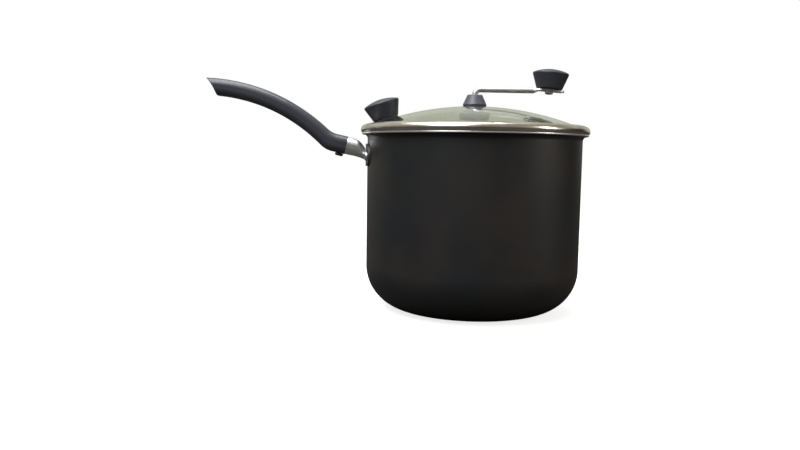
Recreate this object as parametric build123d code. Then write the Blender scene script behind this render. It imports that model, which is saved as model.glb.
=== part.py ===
"""A stovetop popcorn popper: a deep rounded pot, a domed glass lid in a metal band, and a hand crank.

Millimetres. The origin is on the pot's axis at its underside. +Z is up, the long handle points along
-X, and the crank points along +X at rest.
"""

from build123d import *
import math
import os

# ---------------------------------------------------------------- driving sizes

# Pot: one drawn sheet with a flared rim
pot_radius = 112.0              # outside of the straight wall
pot_height = 185.0              # underside to the top of the rim
pot_wall = 2.0
pot_foot_radius = 45.5          # outside of the rounded foot
rim_flare = 6.0                 # rim's edge beyond the wall
rim_bend = 4.5                  # outside of the bend under the flare

# Lid: glass dome in a rolled metal band
dome_radius = 292.0             # outer surface of the glass
glass_thickness = 4.0
glass_inset = 3.7               # glass edge inside the rim's edge
glass_edge_round = 0.8
band_sheet = 0.6
band_overhang = 1.5             # band's widest point beyond the rim's edge
band_lip = 4.6                  # how far the band laps over the glass
band_crown = 1.06               # crest above the lip's inner edge
band_belly = 3.4                # widest point above the shelf
band_shoulder = 1.9             # crest down to the turn of the wall
band_tuck = 0.9                 # shelf corner inside the widest point
band_crest_inset = 1.2          # crest inside the glass edge
band_shoulder_inset = 2.0       # turn of the wall inside the widest point
band_top_round = 2.4            # crest and turn of the wall
band_belly_round = 4.0
band_corner_round = 0.5         # outer corner of the shelf
skirt_round = 1.4               # shelf to skirt
skirt_depth = 6.5               # below the rim

# Crank: one bent rod with a flattened end
rod_diameter = 6.0
crank_length = 78.5             # shaft axis to knob axis
crank_inner_bend = 2.4          # inside of the bend at the hub
paddle_thickness = 1.8
paddle_width = 13.0
paddle_overhang = 16.0          # knob axis to paddle tip
paddle_droop = 4.5              # degrees below level
droop_start = 25.0              # knob axis back to where the droop begins
flatten_start = 17.0            # knob axis back to the end of the round stretch
flatten_end = 10.0              # knob axis back to the start of the full paddle

# Hub on the glass
hub_base_radius = 12.9
hub_top_radius = 7.8
hub_height = 11.0
hub_top_round = 0.8
hub_foot_round = 0.6
shank_diameter = 10.0           # threaded stem through the glass
shank_reach = 7.2               # below the inner face of the glass
shank_end_round = 0.6
bearing_washer_radius = 10.5

# Knobs: one moulding used twice
knob_base_radius = 13.4
knob_top_radius = 19.2
knob_side_height = 16.4
knob_crown = 4.2                # rise of the domed top
knob_corner = 1.6
knob_foot_round = 0.8
knob_relief_depth = 2.2         # ring-shaped hollow in the foot
knob_relief_wall = 2.0          # outside of that hollow
lid_knob_offset = 92.5          # lid axis to the knob's foot on the dome
knob_washer_radius = 8.0        # under the glass
paddle_washer_radius = 6.4
paddle_washer_thickness = 0.6
knob_seal_inset = 0.6           # seal's edge inside the foot that stands on it
hub_seal_inset = 0.8

# Handle bracket: a plate on the wall with a bar into the grip
handle_drop = 23.4              # bracket centre below the rim
plate_width = 52.0
plate_height = 23.0
plate_thickness = 1.8
tang_width = 14.0
tang_thickness = 4.0
tang_reach = 20.0               # inside the grip
tang_corner = 0.8
rivet_spacing = 34.0
rivet_drop = 1.6                # below the bracket centre
rivet_diameter = 5.0
rivet_head_radius = 4.5
rivet_head_height = 2.6
rivet_inner_height = 1.6        # low heads inside the pot
rivet_rim = 0.4                 # height of a head's edge, under its dome

# Guard: a bright sleeve that tapers from the grip to the plate
guard_wall = 0.9
guard_collar = 4.3              # level stretch at the grip
guard_collar_height = 18.2
guard_waist = 0.65              # share of the taper, from the collar, where the waist lies
guard_waist_height = 15.6
guard_waist_width = 20.6
guard_bow = 1.57                # waist above the straight taper
guard_pot_height = 11.6
guard_pot_width = 19.0
guard_corner = 0.42             # share of a section's smaller side
guard_rise = 0.4                # pot end above the bracket centre

# Grip: a long arch that dips into a short neck
grip_reach = 22.1               # pot wall to the middle of the grip's inner end
grip_rise = 9.45                # inner end above the bracket centre
grip_end_slope = 12.3           # degrees that the neck climbs
grip_end_height = 18.7
grip_neck_width = 21.0
grip_neck_length = 17.7         # inner end to the foot of the arch, along the top
grip_dip_radius = 24.0
grip_arc_radius = 188.3         # top of the arch
grip_thickness = 17.2           # top of the arch to its underside
grip_width = 24.0
grip_plan_start = 22.0          # inner end to where the neck begins to widen
grip_plan_end = 62.0            # inner end to the full width
grip_plan_blend = 150.0
grip_rounding = 7.0
handle_reach = 166.1            # pot wall to the tip
handle_tip_rise = 76.4          # tip above the bracket centre
grip_tip_cut = 11.0             # how far the tip leans in from top to underside
grip_tip_bulge = 1.6            # how far the tip's end face bows out
grip_tip_rounding = 9.0
grip_tip_land = 0.4             # how far the tip bows past its upper corner
hang_hole_radius = 4.0
hang_hole_inset = 17.0          # tip to the hole's axis

# Stirrer
stirrer_wire = 4.0
stirrer_floor_gap = 3.0         # pot floor to wire
stirrer_wall_gap = 9.0          # rounded foot to the ends of the wire
stirrer_end_angle = 40.0        # degrees below level, seen from the foot's centre
stirrer_straight = 24.0         # half of the straight run through the boss
stirrer_knee_trail = 14.0       # degrees that the knees trail behind the straight run
stirrer_end_trail = 20.0        # degrees that the ends trail
stirrer_knee_bend = 18.0
stirrer_hub_bend = 14.0
stirrer_hub_radius = 7.5
stirrer_hub_skin = 0.6          # metal left under the wire
stirrer_hub_wall = 3.2          # round the shaft at the top of the boss
stirrer_hub_top = 19.0          # above the pot floor
stirrer_hub_shoulder = 3.5      # above the wire
stirrer_hub_round = 1.5         # at that shoulder
stirrer_hub_foot_round = 0.6
stirrer_hub_top_round = 0.8
stirrer_screw_drop = 5.0        # below the top of the boss

# Small hardware
screw_diameter = 5.0
pan_head_radius = 4.25
pan_head_height = 2.9
screw_edge_round = 0.3
screw_tip_round = 0.4
root_overlap = 0.5              # how far a screw's or rivet's shank starts inside its head
recess_width = 1.1
washer_thickness = 1.0
washer_round = 0.2
seal_thickness = 1.2
insert_radius = 4.2
insert_length = 12.0
insert_skin = 1.5               # metal left above the insert's blind thread
insert_groove = 0.5             # depth of the groove that keys it
insert_round = 0.6
insert_air = 1.0                # room above it in its pocket
nut_flats = 15.0
nut_thickness = 4.0
nut_corner_round = 0.9
collar_radius = 6.5
collar_height = 8.0
collar_round = 0.6
grub_radius = 1.5
grub_socket_depth = 1.6
grub_inset = 0.3                # outer end below the collar's surface
stirrer_grub_inset = 0.2        # the same at the boss
clamp_screw_inset = 5.6         # grip's inner end to its screw
clamp_screw_bite = 0.7          # its tip above the neck's middle, as a share of the bar's thickness

# Clearances
seat_gap = 0.1                  # faces that rest on each other within the assembly
running_gap = 0.08              # radial, a shaft in its bore
thread_gap = 0.05               # radial, a screw in its thread
hole_gap = 0.3                  # radial, a loose hole round a screw or stem
glass_hole_gap = 0.4            # radial, a stem in the glass
socket_gap = 0.2                # round the bar in the grip
skirt_gap = 1.4                 # radial, skirt in the pot
end_play = 0.3                  # along the crank shaft
lid_rest_gap = 0.2              # lid shelf above the rim
rivet_gap = 0.05                # under a rivet's inner head
rivet_outer_gap = 0.02
guard_gap = 0.2                 # guard to the grip
guard_foot_gap = 0.3            # guard to the plate
screw_tip_gap = 1.1             # screw's end short of a blind thread
cut_past = 1.0                  # how far a cut runs past what it cuts
long_cut = 20.0                 # the same across a whole piece
bore_past = 5.0                 # the same along the shaft's and the knob screw's bores

# ---------------------------------------------------------------- places worked out from the sizes

pot_inner_radius = pot_radius - pot_wall
foot_inner_radius = pot_foot_radius - pot_wall
floor_radius = pot_radius - pot_foot_radius
rim_radius = pot_radius + rim_flare
rod_radius = rod_diameter / 2
screw_radius = screw_diameter / 2
shank_radius = shank_diameter / 2

glass_radius = rim_radius - glass_inset
glass_inner_sphere = dome_radius - glass_thickness
shelf_z = pot_height + lid_rest_gap
shelf_top = shelf_z + band_sheet
dome_centre_z = shelf_top + seat_gap - math.sqrt(glass_inner_sphere**2 - glass_radius**2)
apex_z = dome_centre_z + dome_radius
under_apex_z = apex_z - glass_thickness

hub_z = apex_z + seal_thickness + seat_gap
hub_top_z = hub_z + hub_height
shank_low_z = under_apex_z - shank_reach
crank_bend = crank_inner_bend + rod_radius
arm_z = hub_top_z + end_play + crank_bend
collar_top_z = shank_low_z - end_play

wire_z = pot_wall + stirrer_floor_gap + stirrer_wire / 2
wire_top_z = wire_z + stirrer_wire / 2
stirrer_hub_top_z = pot_wall + stirrer_hub_top

handle_height = pot_height - handle_drop
grip_end_x = pot_radius + grip_reach
grip_end_z = handle_height + grip_rise
grip_tip_x = pot_radius + handle_reach
plate_inner_radius = pot_radius + seat_gap
plate_outer_radius = plate_inner_radius + plate_thickness
crank_knob_foot = paddle_washer_thickness + 2 * seat_gap
thread_depth = insert_length - insert_skin


# ---------------------------------------------------------------- shared shapes

def lathe(outline):
    """Turns an outline, drawn as (radius, height), about the Z axis."""
    return revolve(Plane.XZ * make_face(outline), Axis.Z)


def turned(points, rounds):
    """A turned piece from the corners of its half section and the rounding of each corner."""
    return lathe(FilletPolyline(*points, radius=rounds, close=True))


def tube(inner, outer, low, high, rounding=0):
    """A ring between two heights."""
    return turned([(inner, low), (outer, low), (outer, high), (inner, high)], [rounding] * 4)


def rod(radius, low, high):
    """A plain round bar between two heights."""
    return Pos(0, 0, (low + high) / 2) * Cylinder(radius, high - low)


def hexagon(flats, low, high):
    """A hexagonal bar, with flats this far apart."""
    profile = RegularPolygon(flats / 2, 6, major_radius=False)
    return extrude(Pos(0, 0, low) * profile, amount=high - low)


def sag(curve_radius, reach):
    """How far a round surface has fallen away at this distance from its top."""
    return curve_radius - math.sqrt(curve_radius**2 - reach**2)


def pan_head_screw(length):
    """A screw with its head below Z = 0 and its shank above, with a cross recess in the head."""
    low = -pan_head_height
    head = turned(
        [(0, 0), (pan_head_radius, 0), (pan_head_radius, low), (0, low)],
        [0, screw_edge_round, pan_head_height * 0.55, 0],
    )
    root = -root_overlap
    corners = [(0, root), (screw_radius, root), (screw_radius, length), (0, length)]
    shank = turned(corners, [0, 0, screw_tip_round, 0])
    slot = Box(pan_head_radius * 1.1, recess_width, pan_head_height * 0.9)
    return head + shank - Pos(0, 0, low) * (slot + Rot(0, 0, 90) * slot)


def grub_screw(low, high):
    """A headless screw with a hexagon socket."""
    socket = hexagon(grub_radius * 0.95, high - grub_socket_depth, high + cut_past)
    return rod(grub_radius, low, high) - socket


# ---------------------------------------------------------------- pot

def make_pot_shell():
    """Flat floor, rounded foot, straight wall and flared rim, all of one thickness."""
    bend_z = pot_height - pot_wall - rim_bend
    lip_edge = rim_radius - pot_wall / 2
    foot_centre = (floor_radius, pot_foot_radius)
    bend_centre = (pot_radius + rim_bend, bend_z)
    outline = [
        Line((0, 0), (floor_radius, 0)),
        CenterArc(foot_centre, pot_foot_radius, 270, 90),
        Line((pot_radius, pot_foot_radius), (pot_radius, bend_z)),
        CenterArc(bend_centre, rim_bend, 90, 90),
        Line((bend_centre[0], pot_height - pot_wall), (lip_edge, pot_height - pot_wall)),
        CenterArc((lip_edge, pot_height - pot_wall / 2), pot_wall / 2, 270, 180),
        Line((lip_edge, pot_height), (bend_centre[0], pot_height)),
        CenterArc(bend_centre, rim_bend + pot_wall, 90, 90),
        Line((pot_inner_radius, bend_z), (pot_inner_radius, pot_foot_radius)),
        CenterArc(foot_centre, foot_inner_radius, 270, 90),
        Line((floor_radius, pot_wall), (0, pot_wall)),
        Line((0, pot_wall), (0, 0)),
    ]
    shell = lathe(outline)
    for place in rivet_places():
        shell -= place * rivet_hole()
    return shell


def rivet_places():
    """The two rivets, one each side of the neck, with Z pointing out of the pot."""
    half_angle = math.degrees(rivet_spacing / 2 / pot_radius)
    height = handle_height - rivet_drop
    return [
        Rot(0, 0, 180 + turn) * Pos(pot_radius, 0, height) * Rot(0, 90, 0)
        for turn in (-half_angle, half_angle)
    ]


def rivet_hole():
    """Clears a rivet through the wall and the plate."""
    reach = pot_wall + plate_thickness
    return rod(rivet_diameter / 2 + running_gap, -2 * reach, 2 * reach)


def make_bracket_rivets():
    """Domed heads outside on the plate and low heads inside the pot."""
    outer_seat = seat_gap + plate_thickness + rivet_outer_gap
    inner_seat = -pot_wall - sag(pot_inner_radius, rivet_head_radius) - rivet_gap
    rivet = Pos(0, 0, outer_seat) * rivet_head(rivet_head_height, 1)
    rivet += Pos(0, 0, inner_seat) * rivet_head(rivet_inner_height, -1)
    rivet += rod(rivet_diameter / 2, inner_seat - root_overlap, outer_seat + root_overlap)
    return Compound([place * rivet for place in rivet_places()])


def rivet_head(height, side):
    """A dome on a low straight rim, its flat side at Z = 0, pointing up (1) or down (-1)."""
    edge, top = rivet_head_radius, side * height
    return turned(
        [(0, 0), (edge, 0), (edge, top), (0, top)], [0, rivet_rim / 2, height - rivet_rim, 0]
    )


# ---------------------------------------------------------------- handle bracket and guard

def tang_place():
    """Where the bar crosses the grip's inner end, with Z along the bar away from the pot."""
    slope = math.degrees(math.atan2(grip_rise, grip_reach))
    return Pos(-grip_end_x, 0, grip_end_z) * Rot(0, -90 + slope, 0)


def clamp_screw_place():
    """The screw under the neck, with Z up into the bar, square to the neck."""
    slope = math.radians(grip_end_slope)
    x = -grip_end_x - clamp_screw_inset * math.cos(slope)
    z = grip_end_z + clamp_screw_inset * math.sin(slope)
    return Pos(x, 0, z) * Rot(0, grip_end_slope, 0)


def make_handle_bracket():
    """A plate bent to the wall, with a bar that reaches into the grip."""
    wall_band = tube(plate_inner_radius, plate_outer_radius, 0, pot_height)
    outline = extrude(SlotOverall(plate_width, plate_height), long_cut, both=True)
    middle = Pos(-pot_radius, 0, handle_height) * Rot(0, -90, 0) * Rot(0, 0, 90)
    plate = wall_band & middle * outline
    for place in rivet_places():
        plate -= place * rivet_hole()
    run = math.hypot(grip_reach, grip_rise)
    bar = Box(tang_thickness, tang_width, run + tang_reach)
    bar = Pos(0, 0, (tang_reach - run) / 2) * fillet(bar.edges().filter_by(Axis.Z), tang_corner)
    bar = tang_place() * bar - rod(plate_inner_radius + plate_thickness / 2, 0, pot_height)
    hole = clamp_screw_place() * rod(screw_radius + thread_gap, -grip_end_height, grip_end_height)
    return plate + bar - hole


def guard_sections():
    """The guard's outside from the grip to the pot: place, height and width of each section."""
    grip_end = Pos(-grip_end_x + guard_gap, 0, grip_end_z) * Rot(0, -90 + grip_end_slope, 0)
    collar = grip_end * Pos(0, 0, -guard_collar)
    start = collar.position
    end_x = -plate_inner_radius - plate_thickness - guard_foot_gap
    end_z = handle_height + guard_rise
    waist_x = start.X + guard_waist * (end_x - start.X)
    waist_z = start.Z + guard_waist * (end_z - start.Z) + guard_bow
    waist = Pos(waist_x, 0, waist_z) * Rot(0, -90 + grip_end_slope / 2, 0)
    return [
        (grip_end, guard_collar_height, grip_neck_width),
        (collar, guard_collar_height, grip_neck_width),
        (waist, guard_waist_height, guard_waist_width),
        (Pos(end_x, 0, end_z) * Rot(0, -90, 0), guard_pot_height, guard_pot_width),
    ]


def guard_body(inset):
    """A tapering sleeve with a short level collar, made smaller all round by the inset."""
    faces = []
    for place, height, width in guard_sections():
        corner = min(height, width) * guard_corner - inset
        faces.append(place * RectangleRounded(height - 2 * inset, width - 2 * inset, corner))
    return loft(faces[:2]) + loft(faces[1:])


def make_flame_guard():
    """A bright sleeve over the bar, between the grip and the plate."""
    return guard_body(0) - guard_body(guard_wall)


# ---------------------------------------------------------------- grip

def meet_arc(start, along, centre, radius):
    """Where a line from the neck meets an arc of the arch."""
    away = (start[0] - centre[0], start[1] - centre[1])
    half = away[0] * along[0] + away[1] * along[1]
    reach = -half - math.sqrt(half**2 - away[0] ** 2 - away[1] ** 2 + radius**2)
    return (start[0] + reach * along[0], start[1] + reach * along[1])


def arc_centre(first, last, radius):
    """Centre, below, of the arc of this radius through two points."""
    across = (last[0] - first[0], last[1] - first[1])
    chord = math.hypot(*across)
    depth = math.sqrt(radius**2 - chord**2 / 4)
    middle = ((first[0] + last[0]) / 2, (first[1] + last[1]) / 2)
    return (middle[0] + depth * across[1] / chord, middle[1] - depth * across[0] / chord)


def above(centre, radius, x):
    """The point of an arc over this x."""
    return (x, centre[1] + math.sqrt(radius**2 - (x - centre[0]) ** 2))


def grip_side():
    """The grip seen from the side: a short neck, then a long arch to a leaning tip."""
    slope = math.radians(grip_end_slope)
    along = (-math.cos(slope), math.sin(slope))
    across = (math.sin(slope) * grip_end_height / 2, math.cos(slope) * grip_end_height / 2)
    end_top = (-grip_end_x + across[0], grip_end_z + across[1])
    end_low = (-grip_end_x - across[0], grip_end_z - across[1])
    dip_top = (end_top[0] + grip_neck_length * along[0], end_top[1] + grip_neck_length * along[1])
    tip_top = (-grip_tip_x, handle_height + handle_tip_rise)
    centre = arc_centre(tip_top, dip_top, grip_arc_radius)
    low_radius = grip_arc_radius - grip_thickness
    dip_low = meet_arc(end_low, along, centre, low_radius)
    tip_low = above(centre, low_radius, -grip_tip_x + grip_tip_cut)
    middle_x = -(grip_end_x + grip_tip_x) / 2
    outline = make_face(
        [
            Line(end_low, end_top),
            Line(end_top, dip_top),
            ThreePointArc(dip_top, above(centre, grip_arc_radius, middle_x), tip_top),
            SagittaArc(tip_top, tip_low, grip_tip_bulge),
            ThreePointArc(tip_low, above(centre, low_radius, middle_x), dip_low),
            Line(dip_low, end_low),
        ]
    )
    dips = [v for v in outline.vertices() if min(abs(v.X - dip_top[0]), abs(v.X - dip_low[0])) < 0.01]
    return fillet(dips, grip_dip_radius)


def grip_plan(tip_x, tip_rounding):
    """The grip seen from above: narrow at the neck, then fuller, ending this far out from the pot."""
    half_neck = grip_neck_width / 2
    half_wide = grip_width / 2
    start_x = -grip_end_x - grip_plan_start
    full_x = -grip_end_x - grip_plan_end
    points = [
        (-pot_radius, -half_neck),
        (-pot_radius, half_neck),
        (start_x, half_neck),
        (full_x, half_wide),
        (-tip_x, half_wide),
        (-tip_x, -half_wide),
        (full_x, -half_wide),
        (start_x, -half_neck),
    ]
    blend = grip_plan_blend
    rounds = [0, 0, blend, blend, tip_rounding, tip_rounding, blend, blend]
    outline = FilletPolyline(*points, radius=rounds, close=True)
    return extrude(make_face(outline), amount=handle_height + 2 * handle_tip_rise)


def make_handle_grip():
    """The moulded grip: side shape cut to its plan, long edges rounded, socket and hanging hole."""
    side = extrude(Plane.XZ * grip_side(), amount=grip_width, both=True)
    body = side & grip_plan(grip_tip_x + 1.5 * long_cut, 0)
    inner_end = min(body.faces(), key=lambda face: abs(face.center().X + grip_end_x) + abs(face.center().Y))
    tip_end = min(body.faces(), key=lambda face: face.center().X)
    end_edges = inner_end.edges() + tip_end.edges()
    long_edges = [edge for edge in body.edges() if abs(edge.center().Y) > 1 and edge not in end_edges]
    long_edges = [edge for edge in long_edges if abs((edge @ 0).X - (edge @ 1).X) > 0.5]
    body = fillet(long_edges, grip_rounding) & grip_plan(grip_tip_x + grip_tip_land, grip_tip_rounding)
    depth = tang_reach + 2 * socket_gap
    socket = Box(tang_thickness + 2 * socket_gap, tang_width + 2 * socket_gap, 2 * depth)
    body -= tang_place() * socket
    body -= clamp_screw_place() * rod(screw_radius + hole_gap / 2, -grip_end_height, 0)
    hole = rod(hang_hole_radius, handle_height, handle_height + 2 * handle_tip_rise)
    return body - Pos(-grip_tip_x + hang_hole_inset, 0, 0) * hole


def make_grip_screw():
    """Screw from under the neck into the bar."""
    low = -grip_end_height / 2 - seat_gap
    return clamp_screw_place() * Pos(0, 0, low) * pan_head_screw(tang_thickness * clamp_screw_bite - low)


# ---------------------------------------------------------------- lid

def on_dome(offset):
    """A place on the dome at this radius towards -X, with Z along the outward normal."""
    tilt = math.degrees(math.asin(offset / dome_radius))
    height = dome_centre_z + math.sqrt(dome_radius**2 - offset**2)
    return Pos(-offset, 0, height) * Rot(0, -tilt, 0)


def to_lid_knob(shape):
    """Moves a shape made at the top of the dome to the lid knob's place on it."""
    return on_dome(lid_knob_offset) * Pos(0, 0, -apex_z) * shape


def dome_arc(radius, from_reach, to_reach):
    """Part of the half section of a ball about the dome's centre, outwards."""
    start = math.degrees(math.acos(from_reach / radius))
    end = math.degrees(math.acos(to_reach / radius))
    return CenterArc((0, dome_centre_z), radius, start, end - start)


def make_lid_glass():
    """A slice of a ball with a rounded edge, a hole for the hub and one for the knob."""
    hole = shank_radius + glass_hole_gap
    over = dome_arc(dome_radius, hole, glass_radius)
    under = dome_arc(glass_inner_sphere, glass_radius, hole)
    section = make_face([over, Line(over @ 1, under @ 0), under, Line(under @ 1, over @ 0)])
    edge = [v for v in section.vertices() if v.X > glass_radius - 0.01]
    glass = revolve(Plane.XZ * fillet(edge, glass_edge_round), Axis.Z)
    screw_hole = rod(screw_radius + glass_hole_gap, -2 * glass_thickness, glass_thickness + cut_past)
    return glass - on_dome(lid_knob_offset) * screw_hole


def make_lid_band():
    """Rolled sheet: a bulging wall, a lip over the glass, a shelf on the rim and a locating skirt."""
    sheet = band_sheet
    band_radius = rim_radius + band_overhang
    skirt_radius = pot_inner_radius - skirt_gap
    lip_inner = glass_radius - band_lip
    lip_z = dome_centre_z + math.sqrt((dome_radius + seat_gap) ** 2 - lip_inner**2) + seat_gap / 2
    crest = lip_z + sheet + band_crown
    belly_z = shelf_z + band_belly
    shoulder_z = crest - band_shoulder
    outer = [
        (lip_inner, lip_z + sheet),
        (glass_radius - band_crest_inset, crest),
        (band_radius - band_shoulder_inset, shoulder_z),
        (band_radius, belly_z),
        (band_radius - band_tuck, shelf_z),
        (skirt_radius, shelf_z),
        (skirt_radius, pot_height - skirt_depth),
    ]
    inner = [
        (skirt_radius - sheet, pot_height - skirt_depth),
        (skirt_radius - sheet, shelf_top),
        (band_radius - band_tuck - sheet, shelf_top),
        (band_radius - sheet, belly_z),
        (band_radius - band_shoulder_inset - 0.8 * sheet, shoulder_z - 0.6 * sheet),
        (glass_radius - band_crest_inset - sheet / 6, crest - sheet),
        (lip_inner, lip_z),
    ]
    rounds = [band_top_round, band_top_round, band_belly_round, band_corner_round, skirt_round]
    inner_rounds = [max(rounding - sheet, sheet / 3) for rounding in reversed(rounds)]
    return turned(outer + inner, [0, *rounds, 0, 0, *inner_rounds, 0])


# ---------------------------------------------------------------- knob moulding

def knob_moulding():
    """A tapering knob with a domed top, its foot at Z = 0, with a pocket for the metal insert."""
    crown_radius = (knob_top_radius**2 + knob_crown**2) / (2 * knob_crown)
    crown_z = knob_side_height + knob_crown
    start = math.degrees(math.acos(knob_top_radius / crown_radius))
    section = make_face(
        [
            Line((0, 0), (knob_base_radius, 0)),
            Line((knob_base_radius, 0), (knob_top_radius, knob_side_height)),
            CenterArc((0, crown_z - crown_radius), crown_radius, start, 90 - start),
            Line((0, crown_z), (0, 0)),
        ]
    )
    shoulder = [v for v in section.vertices() if v.X > knob_top_radius - 0.01]
    section = fillet(shoulder, knob_corner)
    foot = [v for v in section.vertices() if v.Y < 0.01 and v.X > 1]
    body = revolve(Plane.XZ * fillet(foot, knob_foot_round), Axis.Z)
    pocket = rod(insert_radius + thread_gap, -cut_past, insert_length + insert_air)
    inner = insert_radius + knob_relief_depth * 1.5
    outer = knob_base_radius - knob_relief_wall
    return body - pocket - tube(inner, outer, -knob_relief_depth, knob_relief_depth, knob_foot_round)


def knob_insert():
    """A metal bush moulded into the knob's foot, tapped blind."""
    low = thread_gap
    corners = [(0, low), (insert_radius, low), (insert_radius, insert_length), (0, insert_length)]
    body = turned(corners, [0, insert_round / 2, insert_round, 0])
    groove_low = insert_length * 0.4
    groove = tube(insert_radius - insert_groove, insert_radius + cut_past, groove_low, groove_low + 1.8)
    return body - groove - rod(screw_radius + thread_gap, -cut_past, thread_depth)


def lid_knob_place():
    """The lid knob's foot, clear of the seal on the glass."""
    return on_dome(lid_knob_offset) * Pos(0, 0, seal_thickness + seat_gap)


# ---------------------------------------------------------------- seals and washers on the glass

def outer_seal(inner, outer):
    """A soft ring between the dome's outer face and a flat foot above it, at the top of the dome."""
    dome = Pos(0, 0, dome_centre_z) * Sphere(dome_radius + seat_gap)
    return tube(inner, outer, apex_z - 2 * cut_past, apex_z + seal_thickness) - dome


def inner_seal(inner, outer):
    """A soft ring that follows the dome's inner face and is flat below, at the top of the dome."""
    hollow = Pos(0, 0, dome_centre_z) * Sphere(glass_inner_sphere - seat_gap)
    return tube(inner, outer, inner_seal_z(outer), under_apex_z + cut_past) & hollow


def inner_seal_z(outer):
    """Underside of an inner seal of this radius."""
    return under_apex_z - sag(glass_inner_sphere, outer) - seal_thickness


def washer_z(outer):
    """Underside of the washer under an inner seal of this radius."""
    return inner_seal_z(outer) - seat_gap - washer_thickness


def inner_washer(inner, outer):
    return tube(inner, outer, washer_z(outer), washer_z(outer) + washer_thickness, washer_round)


def make_lid_knob_screw():
    """Screw from under the glass into the lid knob's insert."""
    head_z = washer_z(knob_washer_radius) - seat_gap
    tip_z = apex_z + seal_thickness + seat_gap + thread_depth - screw_tip_gap
    return to_lid_knob(Pos(0, 0, head_z) * pan_head_screw(tip_z - head_z))


# ---------------------------------------------------------------- bearing

def make_bearing_cone():
    """Cone on the glass with a threaded stem through it, bored for the crank shaft."""
    points = [
        (0, hub_top_z),
        (hub_top_radius, hub_top_z),
        (hub_base_radius, hub_z),
        (shank_radius, hub_z),
        (shank_radius, shank_low_z),
        (0, shank_low_z),
    ]
    body = turned(points, [0, hub_top_round, hub_foot_round, 0, shank_end_round, 0])
    return body - rod(rod_radius + running_gap, shank_low_z - bore_past, hub_top_z + bore_past)


def make_bearing_nut():
    """A plain hexagon nut with its corners turned off."""
    high = washer_z(bearing_washer_radius) - seat_gap
    low = high - nut_thickness
    corner = nut_flats / math.sqrt(3)
    rounds = [0, nut_corner_round, nut_corner_round, 0]
    trim = turned([(0, low), (corner, low), (corner, high), (0, high)], rounds)
    bore = rod(shank_radius + thread_gap, low - cut_past, high + cut_past)
    return (hexagon(nut_flats, low, high) & trim) - bore


# ---------------------------------------------------------------- crank

def paddle_place():
    """The paddle's top face on the knob's axis, with X along the drooping paddle."""
    drop = math.tan(math.radians(paddle_droop)) * droop_start
    return Pos(crank_length, 0, arm_z + rod_radius - drop) * Rot(0, paddle_droop, 0)


def crank_bar():
    """The round stretch: up through the hub, then bent level."""
    low = wire_top_z + seat_gap
    bend_low = arm_z - crank_bend
    bend = Pos(crank_bend, 0, bend_low) * Rot(90, 0, 0) * Rot(0, 0, 90)
    path = Wire(
        [
            Line((0, 0, low), (0, 0, bend_low)),
            CenterArc((0, 0, 0), crank_bend, 0, 90).moved(bend),
            Line((crank_bend, 0, arm_z), (crank_length - flatten_start, 0, arm_z)),
        ]
    )
    return sweep(Plane((0, 0, low), z_dir=(0, 0, 1)) * Circle(rod_radius), path=path)


def crank_neck():
    """Where the rod is pressed from round to flat, between two slots: the first is all but round."""
    round_place = Pos(crank_length - flatten_start, 0, arm_z) * Rot(0, 90, 0) * Rot(0, 0, 90)
    flat_place = paddle_place() * Pos(-flatten_end, 0, -paddle_thickness / 2) * Rot(0, 90, 0) * Rot(0, 0, 90)
    round_face = round_place * SlotOverall(rod_diameter * 1.004, rod_diameter)
    return loft([round_face, flat_place * SlotOverall(paddle_width, paddle_thickness)])


def crank_paddle():
    """The flat end: parallel sides, a round tip and the hole for the knob's screw."""
    half = paddle_width / 2
    tip_start = paddle_overhang - half
    outline = [
        Line((-flatten_end, half), (-flatten_end, -half)),
        Line((-flatten_end, -half), (tip_start, -half)),
        ThreePointArc((tip_start, -half), (paddle_overhang, 0), (tip_start, half)),
        Line((tip_start, half), (-flatten_end, half)),
    ]
    paddle = extrude(Pos(0, 0, -paddle_thickness) * make_face(outline), amount=paddle_thickness)
    hole = rod(screw_radius + running_gap, -bore_past, bore_past)
    return paddle_place() * (paddle - hole)


def make_crank_rod():
    """One rod: up through the hub, bent level, then pressed flat into a drooping paddle."""
    return crank_bar() + crank_neck() + crank_paddle()


def collar_screw_place():
    """The collar's grub screw, with Z out along -Y."""
    return Pos(0, 0, collar_top_z - collar_height / 2) * Rot(90, 0, 0)


def make_shaft_collar():
    """A turned collar under the bearing that keeps the crank in the lid."""
    low = collar_top_z - collar_height
    bore = rod_radius + thread_gap
    corners = [(bore, low), (collar_radius, low), (collar_radius, collar_top_z), (bore, collar_top_z)]
    hole = rod(grub_radius + thread_gap, 0, collar_radius + cut_past)
    return turned(corners, [0, collar_round, collar_round, 0]) - collar_screw_place() * hole


# ---------------------------------------------------------------- crank knob

def crank_knob_place():
    """The turning knob's foot, clear of the washer on the paddle."""
    return paddle_place() * Pos(0, 0, crank_knob_foot)


def make_crank_knob_washer():
    low = seat_gap
    ring = tube(screw_radius + running_gap, paddle_washer_radius, low, low + paddle_washer_thickness)
    return paddle_place() * ring


def make_crank_knob_screw():
    """Screw from under the paddle into the turning knob's insert."""
    head_z = -paddle_thickness - 1.5 * seat_gap
    return paddle_place() * Pos(0, 0, head_z) * pan_head_screw(thread_depth - head_z)


# ---------------------------------------------------------------- stirrer

def stirrer_screw_place():
    """The boss's grub screw, with Z out along -Y."""
    return Pos(0, 0, stirrer_hub_top_z - stirrer_screw_drop) * Rot(90, 0, 0)


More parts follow.
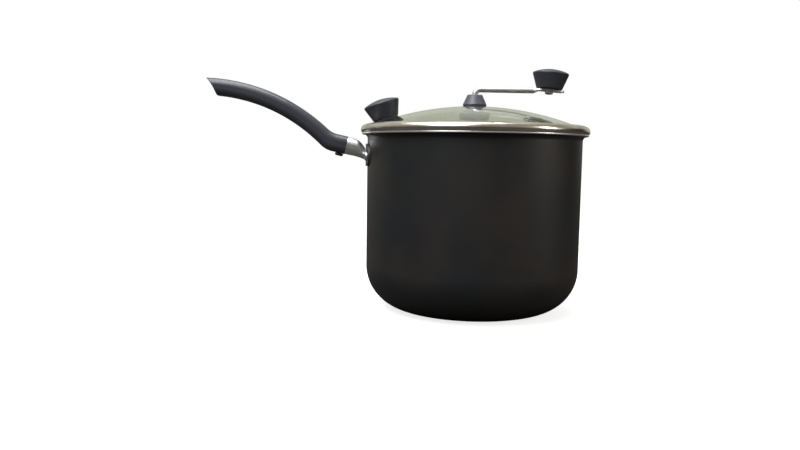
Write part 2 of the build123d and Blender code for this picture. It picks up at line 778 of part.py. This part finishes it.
def make_stirrer_hub():
    """A turned boss clamped to the shaft, with a cross hole for the wire."""
    low = wire_z - stirrer_wire / 2 - stirrer_hub_skin
    points = [
        (0, low),
        (stirrer_hub_radius, low),
        (stirrer_hub_radius, wire_top_z + stirrer_hub_shoulder),
        (rod_radius + stirrer_hub_wall, stirrer_hub_top_z),
        (0, stirrer_hub_top_z),
    ]
    rounds = [0, stirrer_hub_foot_round, stirrer_hub_round, stirrer_hub_top_round, 0]
    body = turned(points, rounds)
    body -= rod(rod_radius + thread_gap, wire_z, stirrer_hub_top_z + cut_past)
    body -= Pos(0, 0, wire_z) * Rot(0, 90, 0) * rod(stirrer_wire / 2 + thread_gap, -long_cut, long_cut)
    return body - stirrer_screw_place() * rod(grub_radius + thread_gap, 0, long_cut)


def stirrer_point(out, trail, height):
    """A point of one arm, trailing this many degrees behind the straight run."""
    turn = math.radians(trail)
    return (out * math.cos(turn), out * math.sin(turn), height)


def make_stirrer_wire():
    """One wire through the boss: each arm trails back and turns up along the pot's rounded foot."""
    clear = foot_inner_radius - stirrer_wall_gap - stirrer_wire / 2
    angle = math.radians(stirrer_end_angle)
    end_out = floor_radius + clear * math.cos(angle)
    end_z = pot_foot_radius - clear * math.sin(angle)
    half = [
        (stirrer_straight, 0, wire_z),
        stirrer_point(floor_radius, stirrer_knee_trail, wire_z),
        stirrer_point(end_out, stirrer_end_trail, end_z),
    ]
    other = [(-x, -y, z) for x, y, z in reversed(half)]
    bends = [stirrer_knee_bend, stirrer_hub_bend, stirrer_hub_bend, stirrer_knee_bend]
    path = FilletPolyline(*(other + half), radius=bends)
    section = Plane(path @ 0, z_dir=path % 0) * Circle(stirrer_wire / 2)
    return sweep(section, path=path)


# ---------------------------------------------------------------- write the pieces

knob_seal_radius = knob_base_radius - knob_seal_inset
bearing_seal_radius = hub_base_radius - hub_seal_inset
loose_screw_hole = screw_radius + hole_gap
loose_shank_hole = shank_radius + hole_gap
grub_seat = rod_radius + seat_gap
collar_grub_end = collar_radius - grub_inset
stirrer_grub_end = rod_radius + stirrer_hub_wall - stirrer_grub_inset

pieces = {
    "pot_shell": make_pot_shell,
    "handle_bracket": make_handle_bracket,
    "bracket_rivets": make_bracket_rivets,
    "flame_guard": make_flame_guard,
    "handle_grip": make_handle_grip,
    "grip_screw": make_grip_screw,
    "lid_glass": make_lid_glass,
    "lid_band": make_lid_band,
    "lid_knob": lambda: lid_knob_place() * knob_moulding(),
    "lid_knob_insert": lambda: lid_knob_place() * knob_insert(),
    "lid_knob_seal": lambda: to_lid_knob(outer_seal(loose_screw_hole, knob_seal_radius)),
    "lid_knob_inner_seal": lambda: to_lid_knob(inner_seal(loose_screw_hole, knob_washer_radius)),
    "lid_knob_washer": lambda: to_lid_knob(inner_washer(loose_screw_hole, knob_washer_radius)),
    "lid_knob_screw": make_lid_knob_screw,
    "bearing_cone": make_bearing_cone,
    "bearing_seal": lambda: outer_seal(loose_shank_hole, bearing_seal_radius),
    "bearing_inner_seal": lambda: inner_seal(loose_shank_hole, bearing_washer_radius),
    "bearing_washer": lambda: inner_washer(loose_shank_hole, bearing_washer_radius),
    "bearing_nut": make_bearing_nut,
    "crank_rod": make_crank_rod,
    "shaft_collar": make_shaft_collar,
    "collar_screw": lambda: collar_screw_place() * grub_screw(grub_seat, collar_grub_end),
    "crank_knob": lambda: crank_knob_place() * knob_moulding(),
    "crank_knob_insert": lambda: crank_knob_place() * knob_insert(),
    "crank_knob_washer": make_crank_knob_washer,
    "crank_knob_screw": make_crank_knob_screw,
    "stirrer_hub": make_stirrer_hub,
    "stirrer_screw": lambda: stirrer_screw_place() * grub_screw(grub_seat, stirrer_grub_end),
    "stirrer_wire": make_stirrer_wire,
}

os.makedirs("parts", exist_ok=True)
for name, make in pieces.items():
    export_step(make(), f"parts/{name}.step")
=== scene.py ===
import math

import bmesh
import bpy
from mathutils import Matrix, Vector


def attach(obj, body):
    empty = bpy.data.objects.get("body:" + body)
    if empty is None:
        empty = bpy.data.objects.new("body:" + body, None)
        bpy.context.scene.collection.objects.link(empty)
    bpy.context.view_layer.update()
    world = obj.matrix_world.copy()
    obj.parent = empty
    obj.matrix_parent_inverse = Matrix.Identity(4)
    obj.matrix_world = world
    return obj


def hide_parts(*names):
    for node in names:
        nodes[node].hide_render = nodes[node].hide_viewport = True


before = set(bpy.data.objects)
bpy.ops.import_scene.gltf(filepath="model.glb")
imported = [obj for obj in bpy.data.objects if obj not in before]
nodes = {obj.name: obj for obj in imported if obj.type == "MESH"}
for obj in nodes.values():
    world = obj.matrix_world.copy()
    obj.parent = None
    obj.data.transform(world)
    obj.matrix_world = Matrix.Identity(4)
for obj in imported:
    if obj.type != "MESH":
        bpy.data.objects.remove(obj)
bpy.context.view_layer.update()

# ---------------------------------------------------------------- camera
# The popper is seen from a little under its rim, eight degrees round towards the handle,
# through a short lens held close. The frame is 800 x 450.

sensor_width_mm, lens_mm = 36.0, 32.84
camera_place = Vector((-0.1076, -0.7724, 0.1626))

camera_data = bpy.data.cameras.new("camera")
camera_data.sensor_width = sensor_width_mm
camera_data.lens = lens_mm
camera = bpy.data.objects.new("camera", camera_data)
bpy.context.scene.collection.objects.link(camera)
right = Vector((0.9991, -0.0387, 0.0155)).normalized()
ahead = Vector((0.0400, 0.9945, -0.0964)).normalized()
up = right.cross(ahead)
camera.matrix_world = Matrix(
    (
        (right.x, up.x, -ahead.x, camera_place.x),
        (right.y, up.y, -ahead.y, camera_place.y),
        (right.z, up.z, -ahead.z, camera_place.z),
        (0, 0, 0, 1),
    )
)
bpy.context.scene.camera = camera
bpy.context.scene.view_settings.view_transform = "Standard"


# ---------------------------------------------------------------- studio
# A plain pale floor under soft lamps, in front of white. The room that polished metal and
# gloss show is white overhead and a warm grey at eye level.

class Tap:
    """One socket of a node tree: sums on taps add Math nodes, and make() adds any other node."""

    def __init__(self, tree, socket=None):
        self.tree, self.socket = tree, socket

    def make(self, kind, settings=None, values=None, out=0):
        node = self.tree.nodes.new("ShaderNode" + kind)
        for name, value in (settings or {}).items():
            setattr(node, name, value)
        for name, value in (values or {}).items():
            if isinstance(value, Tap):
                self.tree.links.new(value.socket, node.inputs[name])
            else:
                node.inputs[name].default_value = value
        return Tap(self.tree, node.outputs[out] if node.outputs else None)

    def maths(self, operation, *values):
        return self.make("Math", {"operation": operation}, dict(enumerate((self, *values))))

    def __add__(self, other):
        return self.maths("ADD", other)

    __radd__ = __add__

    def __mul__(self, other):
        return self.maths("MULTIPLY", other)

    __rmul__ = __mul__

    def __sub__(self, other):
        return self.maths("SUBTRACT", other)

    def __rsub__(self, other):
        return self.maths("MULTIPLY", -1.0).maths("ADD", other)

    def __truediv__(self, other):
        return self.maths("DIVIDE", other)

    def __pow__(self, other):
        return self.maths("POWER", other)

    def step(self, low, high):
        """0 below low, 1 above high, smooth between."""
        ends = {"From Min": low, "From Max": high, "Value": self}
        return self.make("MapRange", {"interpolation_type": "SMOOTHSTEP"}, ends)

    def fall(self, low, high):
        """1 below low, 0 above high, smooth between."""
        return 1 - self.step(low, high)

    def blend(self, low, high):
        """This number as the share between two colours."""
        return self.make("Mix", {"data_type": "RGBA"}, {0: self, 6: low, 7: high}, out=2)


def rgb(red, green, blue):
    return (red, green, blue, 1.0)


below_eye = rgb(0.18, 0.16, 0.14)
at_eye = rgb(0.085, 0.074, 0.064)
above_eye = rgb(0.32, 0.285, 0.235)
window_light = rgb(0.95, 0.88, 0.74)
pale_wall = rgb(0.58, 0.60, 0.52)
dark_corner = rgb(0.02, 0.018, 0.016)
overhead = rgb(0.8, 0.8, 0.82)
window_across = 0.955
corner_back, corner_width, corner_spread = 0.30, 0.05, 0.27


def room(sky):
    """What gloss and glass see: warm and dim in front, pale behind, white overhead."""
    way = sky.make("TexCoord", out=0)
    across, back, up = (sky.make("SeparateXYZ", values={0: way}, out=axis) for axis in range(3))
    front = up.step(-0.25, 0.02).blend(below_eye, at_eye)
    front = up.step(0.04, 0.30).blend(front, above_eye)
    window = (across - window_across).maths("ABSOLUTE").fall(0.02, 0.05)
    front = (window * (0 - back).step(0, 0.1)).blend(front, window_light)
    walls = back.step(0.05, 0.5).blend(front, pale_wall)
    wide = corner_width + across.step(-0.2, 0.2) * corner_spread
    corner = (back - corner_back).maths("ABSOLUTE") / wide
    walls = (corner.fall(0.8, 1.5) * up.fall(0.2, 0.45)).blend(walls, dark_corner)
    return up.step(0.80, 0.94).blend(walls, overhead)


world = bpy.data.worlds.new("studio")
world.use_nodes = True
world.node_tree.nodes.clear()
sky = Tap(world.node_tree)
seen = sky.make("LightPath", out=0)
white = rgb(1.0, 1.0, 1.0)
light = sky.make("Background", values={"Color": seen.blend(room(sky), white)})
sky.make("OutputWorld", values={"Surface": light})
bpy.context.scene.world = world

floor_half, floor_z = 8, -0.0002
corner_signs = ((-1, -1), (1, -1), (1, 1), (-1, 1))
floor_corners = [(floor_half * x, floor_half * y, floor_z) for x, y in corner_signs]
floor_mesh = bpy.data.meshes.new("floor")
floor_mesh.from_pydata(floor_corners, [], [(0, 1, 2, 3)])
floor = bpy.data.objects.new("floor", floor_mesh)
bpy.context.scene.collection.objects.link(floor)
paper = bpy.data.materials.new("pale_paper")
paper.use_nodes = True
paper.node_tree.nodes.clear()
sheet = Tap(paper.node_tree)
seen = sheet.make("LightPath", out=0)
paper_to_object, paper_to_camera = rgb(0.06, 0.055, 0.05), rgb(0.5, 0.5, 0.5)
lit = sheet.make("BsdfDiffuse", values={"Color": seen.blend(paper_to_object, paper_to_camera)})
lift = sheet.make("Emission", values={"Strength": seen * 0.8})
both = sheet.make("AddShader", values={0: lit, 1: lift})
sheet.make("OutputMaterial", values={"Surface": both})
floor_mesh.materials.append(paper)


def lamp(name, place, aim, width, height, watts, colour):
    data = bpy.data.lights.new(name, "AREA")
    data.shape, data.size, data.size_y = "RECTANGLE", width, height
    data.energy, data.color = watts, colour
    made = bpy.data.objects.new(name, data)
    made.location = place
    made.rotation_euler = (Vector(aim) - Vector(place)).to_track_quat("-Z", "Y").to_euler()
    bpy.context.scene.collection.objects.link(made)


lamp("key", (-0.9, -1.2, 1.5), (0, 0, 0.12), 0.9, 0.9, 26, (0.93, 0.96, 1.0))
lamp("fill", (1.5, -0.62, 0.75), (0, 0, 0.15), 0.30, 0.8, 7, (1.0, 0.95, 0.88))
lamp("top", (-0.3, -0.15, 1.3), (0, 0, 0.15), 1.0, 1.0, 22, (0.96, 0.95, 1.0))


# ---------------------------------------------------------------- pot
# One drawn aluminium sheet with a dark sprayed coating: satin outside and a finely flecked
# non-stick inside. It is rubbed through where the foot stands on the hob, and the rim's cut
# edge is bare.

def new_material(name):
    material = bpy.data.materials.new(name)
    material.use_nodes = True
    material.node_tree.nodes.clear()
    return material, Tap(material.node_tree)


def noise(tap, scale, detail, stretch=(1, 1, 1)):
    """Soft noise on the piece, with this many waves to the metre, stretched along its axes."""
    place = tap.make("TexCoord", out=3)
    place = tap.make("Mapping", values={"Vector": place, "Scale": stretch})
    return tap.make("TexNoise", values={"Vector": place, "Scale": scale, "Detail": detail})


def round_axis(tap):
    """Distance from the pot's axis and height, in metres."""
    place = tap.make("TexCoord", out=3)
    across = tap.make("VectorMath", {"operation": "MULTIPLY"}, {0: place, 1: (1, 1, 0)})
    out = tap.make("VectorMath", {"operation": "LENGTH"}, {0: across}, out=1)
    return out, tap.make("SeparateXYZ", values={0: place}, out=2)


def bump(tap, height, depth):
    """A normal from a height of 0 to 1 that stands for this many metres."""
    return tap.make("Bump", values={"Height": height, "Distance": depth, "Strength": 1.0})


def surface(tap, **values):
    names = {name.replace("_", " "): value for name, value in values.items()}
    shader = tap.make("BsdfPrincipled", values=names)
    tap.make("OutputMaterial", values={"Surface": shader})


def dress(node, material):
    """Gives a CAD node its finish."""
    mesh = nodes[node].data
    for index in range(len(mesh.materials)):
        mesh.materials[index] = material


foot_axis, foot_height = 0.0665, 0.0455     # centre of the foot's round
inner_skin = 0.0442, 0.0448                 # from there to within the sheet
worn_height = 0.0002, 0.0016
edge_height, edge_radius = (0.1828, 0.1832), (0.1167, 0.1171)
cool_coat, warm_coat = rgb(0.0095, 0.0118, 0.0140), rgb(0.0185, 0.0160, 0.0150)
fleck_grey = rgb(0.16, 0.16, 0.165)
rubbed_metal, cut_metal = rgb(0.35, 0.35, 0.36), rgb(0.86, 0.85, 0.85)

coating, tap = new_material("pot_coating")
out, height = round_axis(tap)
clouds = noise(tap, 14, 3)
grain = noise(tap, 1800, 2)
across = (out - foot_axis).maths("MAXIMUM", 0.0)
below = (foot_height - height).maths("MAXIMUM", 0.0)
inside = ((across * across + below * below) ** 0.5).fall(*inner_skin)
fleck = noise(tap, 700, 1).step(0.70, 0.74) * inside
worn_foot = height.fall(*worn_height) * noise(tap, 160, 4).step(0.42, 0.62)
cut_edge = height.step(*edge_height) * out.step(*edge_radius)
bare = worn_foot * 0.7 + cut_edge
shade = clouds.step(0.35, 0.65).blend(cool_coat, warm_coat)
shade = fleck.blend(shade, fleck_grey)
shade = worn_foot.blend(shade, rubbed_metal)
shade = cut_edge.blend(shade, cut_metal)
gloss = 0.43 + (noise(tap, 30, 3) - 0.5) * 0.14 + grain * 0.04 - inside * 0.08 - cut_edge * 0.15
surface(
    tap,
    Base_Color=shade,
    Roughness=gloss,
    Metallic=bare * 0.8,
    Specular_IOR_Level=0.42,
    Normal=bump(tap, grain, 0.00003),
)
dress("pot_shell", coating)


# ---------------------------------------------------------------- handle
# A moulded phenolic grip, screwed from below to a flat steel bar. Its skin is a fine satin
# from the mould. The bar's oval plate is blackened, and riveted to the pot's wall.

phenolic, tap = new_material("grip_phenolic")
grain = noise(tap, 2600, 2)
clouds = noise(tap, 25, 3)
shade = clouds.blend(rgb(0.030, 0.034, 0.043), rgb(0.044, 0.047, 0.057))
gloss = 0.31 + (noise(tap, 40, 3) - 0.5) * 0.10 + grain * 0.05
surface(tap, Base_Color=shade, Roughness=gloss, Normal=bump(tap, grain, 0.00002))
dress("handle_grip", phenolic)

black_screw, tap = new_material("black_screw")
grain = noise(tap, 900, 2)
shade = noise(tap, 200, 3).blend(rgb(0.035, 0.035, 0.045), rgb(0.060, 0.060, 0.070))
surface(tap, Base_Color=shade, Roughness=0.38 + grain * 0.12, Normal=bump(tap, grain, 0.00001))
dress("grip_screw", black_screw)


def metal(tap, shade, gloss, lines, depth, share=1.0):
    """Bare or plated metal, with this relief in metres from the marks that its making left."""
    surface(
        tap, Base_Color=shade, Metallic=share, Roughness=gloss, Normal=bump(tap, lines, depth)
    )


guard_metal, tap = new_material("guard_metal")
lines = noise(tap, 900, 2, (0.05, 1, 1))
shade = noise(tap, 60, 3).blend(rgb(0.80, 0.84, 0.84), rgb(0.66, 0.71, 0.70))
metal(tap, shade, 0.27 + lines * 0.14, lines, 0.00001)
dress("flame_guard", guard_metal)

blackened, tap = new_material("blackened_steel")
scale = noise(tap, 260, 4)
shade = scale.blend(rgb(0.050, 0.050, 0.052), rgb(0.13, 0.13, 0.13))
metal(tap, shade, 0.36 + scale * 0.2, scale, 0.00003, 0.7)
dress("handle_bracket", blackened)

rivet_metal, tap = new_material("rivet_aluminium")
dents = noise(tap, 500, 2)
shade = dents.blend(rgb(0.78, 0.78, 0.79), rgb(0.62, 0.62, 0.63))
metal(tap, shade, 0.28 + dents * 0.12, dents, 0.00004)
dress("bracket_rivets", rivet_metal)


# ---------------------------------------------------------------- lid
# A tempered glass dome, 4 mm thick and faintly green, a little smeared by hands. Its edge is
# held in a band of polished stainless sheet, rolled round it and turned, which leaves fine
# rings.

clear_glass, tap = new_material("lid_glass")
smear = noise(tap, 22, 4)
surface(
    tap,
    Base_Color=smear.blend(rgb(0.86, 0.90, 0.80), rgb(0.92, 0.94, 0.86)),
    Roughness=smear.step(0.4, 0.8) * 0.06,
    Transmission_Weight=1.0,
    IOR=1.5,
)
dress("lid_glass", clear_glass)

band_metal, tap = new_material("band_steel")
out, height = round_axis(tap)
turned_rings = 900
rings = tap.make("CombineXYZ", values={0: out * turned_rings, 1: height * turned_rings})
lines = tap.make("TexNoise", values={"Vector": rings, "Scale": 4.0, "Detail": 2.0})
shade = noise(tap, 24, 3).step(0.35, 0.65).blend(rgb(0.66, 0.62, 0.56), rgb(0.47, 0.42, 0.37))
surface(
    tap,
    Base_Color=shade,
    Metallic=1.0,
    Roughness=0.15 + lines * 0.12 + noise(tap, 60, 3) * 0.05,
    Normal=bump(tap, lines, 0.000006),
)
dress("lid_band", band_metal)


# ---------------------------------------------------------------- knobs
# Two mouldings of the same black phenolic, in a fine satin from the mould. One is screwed to
# the glass, and one turns on the crank.

knob_skin, tap = new_material("knob_phenolic")
grain = noise(tap, 2600, 2)
shade = noise(tap, 45, 3).blend(rgb(0.021, 0.025, 0.034), rgb(0.033, 0.037, 0.046))
gloss = 0.44 + (noise(tap, 60, 3) - 0.5) * 0.12 + grain * 0.05
surface(tap, Base_Color=shade, Roughness=gloss, Normal=bump(tap, grain, 0.00002))
for node in ("lid_knob", "crank_knob"):
    dress(node, knob_skin)


# ---------------------------------------------------------------- seals and small hardware
# Black silicone seals on both faces of the glass, brass inserts moulded into the knobs, and
# plated steel washers, screws, collar and boss that hold the pieces together.

soft, tap = new_material("silicone")
shade = noise(tap, 150, 2).blend(rgb(0.030, 0.031, 0.034), rgb(0.045, 0.046, 0.05))
surface(tap, Base_Color=shade, Roughness=0.55 + noise(tap, 400, 2) * 0.15)
for node in ("lid_knob_seal", "lid_knob_inner_seal", "bearing_seal", "bearing_inner_seal"):
    dress(node, soft)

brass, tap = new_material("insert_brass")
lines = noise(tap, 900, 2)
shade = lines.blend(rgb(0.72, 0.55, 0.26), rgb(0.60, 0.44, 0.20))
surface(tap, Base_Color=shade, Metallic=1.0, Roughness=0.25 + lines * 0.15)
for node in ("lid_knob_insert", "crank_knob_insert"):
    dress(node, brass)

plated, tap = new_material("plated_steel")
lines = noise(tap, 800, 2)
shade = noise(tap, 200, 3).blend(rgb(0.66, 0.66, 0.66), rgb(0.50, 0.50, 0.49))
metal(tap, shade, 0.24 + lines * 0.14, lines, 0.00001)
for node in (
    "lid_knob_washer", "lid_knob_screw", "crank_knob_washer", "crank_knob_screw",
    "shaft_collar", "collar_screw", "stirrer_hub", "stirrer_screw",
):
    dress(node, plated)


# ---------------------------------------------------------------- bearing
# A moulded cone stands on the glass and carries the crank's shaft. Its threaded stem goes
# through the glass.

hub_skin, tap = new_material("hub_moulding")
grain = noise(tap, 2600, 2)
shade = noise(tap, 60, 3).blend(rgb(0.050, 0.050, 0.066), rgb(0.072, 0.072, 0.088))
surface(tap, Base_Color=shade, Roughness=0.40 + grain * 0.08, Normal=bump(tap, grain, 0.00002))
dress("bearing_cone", hub_skin)


# ---------------------------------------------------------------- cup under the glass, a painted reflection
# A round cup of pale moulding, screwed on the bearing's stem, which shows through the glass. It
# is partly a real fastener, and its pale grey and its width are a painted reflection of the hub
# in the glass. It is hollow below, clear of the shaft's collar, and takes the place of the CAD's
# plain nut and washer.

cup_top, cup_low, cup_floor = 0.2079, 0.2005, 0.2033    # heights
cup_bore, cup_radius, cup_foot = 0.00510, 0.01640, 0.01505
cup_round, cup_bore_round, cup_foot_round = 0.0004, 0.00550, 0.0005
cup_outline = [
    (cup_bore, cup_top - cup_round),
    (cup_bore_round, cup_top),
    (0.01600, cup_top),
    (cup_radius, cup_top - cup_round),
    (cup_radius, cup_top - 0.0012),
    (0.01615, cup_top - 0.0018),
    (cup_foot, cup_low + cup_foot_round),
    (0.01460, cup_low),
    (0.01400, cup_low),
    (0.01350, cup_low + cup_foot_round),
    (0.01330, cup_floor - cup_round),
    (0.01290, cup_floor),
    (cup_bore_round, cup_floor),
    (cup_bore, cup_floor + cup_round),
]
cup_sides, sharp_degrees = 96, 32
rings, faces = [], []
for turn in range(cup_sides):
    angle = 2 * math.pi * turn / cup_sides
    for reach, high in cup_outline:
        rings.append((reach * math.cos(angle), reach * math.sin(angle), high))
for turn in range(cup_sides):
    here, there = turn * len(cup_outline), (turn + 1) % cup_sides * len(cup_outline)
    for corner in range(len(cup_outline)):
        after = (corner + 1) % len(cup_outline)
        faces.append((here + corner, there + corner, there + after, here + after))
cup_mesh = bpy.data.meshes.new("bearing_cup_painted_reflection")
cup_mesh.from_pydata(rings, [], faces)
shell = bmesh.new()
shell.from_mesh(cup_mesh)
bmesh.ops.recalc_face_normals(shell, faces=shell.faces)
shell.to_mesh(cup_mesh)
shell.free()
for face in cup_mesh.polygons:
    face.use_smooth = True
cup_mesh.set_sharp_from_angle(angle=math.radians(sharp_degrees))
cup = bpy.data.objects.new("bearing_cup_painted_reflection", cup_mesh)
bpy.context.scene.collection.objects.link(cup)
painted_reflection_skin, tap = new_material("cup_painted_reflection")
grain = noise(tap, 1800, 2)
# Pale grey: a painted reflection of the hub in the glass, seen through the glass from under it.
shade = noise(tap, 90, 3).blend(rgb(0.30, 0.31, 0.31), rgb(0.38, 0.39, 0.39))
surface(tap, Base_Color=shade, Roughness=0.42 + grain * 0.10, Normal=bump(tap, grain, 0.00002))
cup_mesh.materials.append(painted_reflection_skin)
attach(cup, "lid")
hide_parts("bearing_nut", "bearing_washer")


# ---------------------------------------------------------------- crank and stirrer
# One drawn steel rod is the shaft and the arm: bent level, then pressed flat under the knob.
# The stirrer is a bent wire of the same steel.

drawn_steel, tap = new_material("drawn_steel")
lines = noise(tap, 1500, 2, (0.02, 1, 1))
shade = noise(tap, 70, 3).blend(rgb(0.74, 0.74, 0.74), rgb(0.62, 0.62, 0.62))
metal(tap, shade, 0.38 + lines * 0.14, lines, 0.00001)
for node in ("crank_rod", "stirrer_wire"):
    dress(node, drawn_steel)
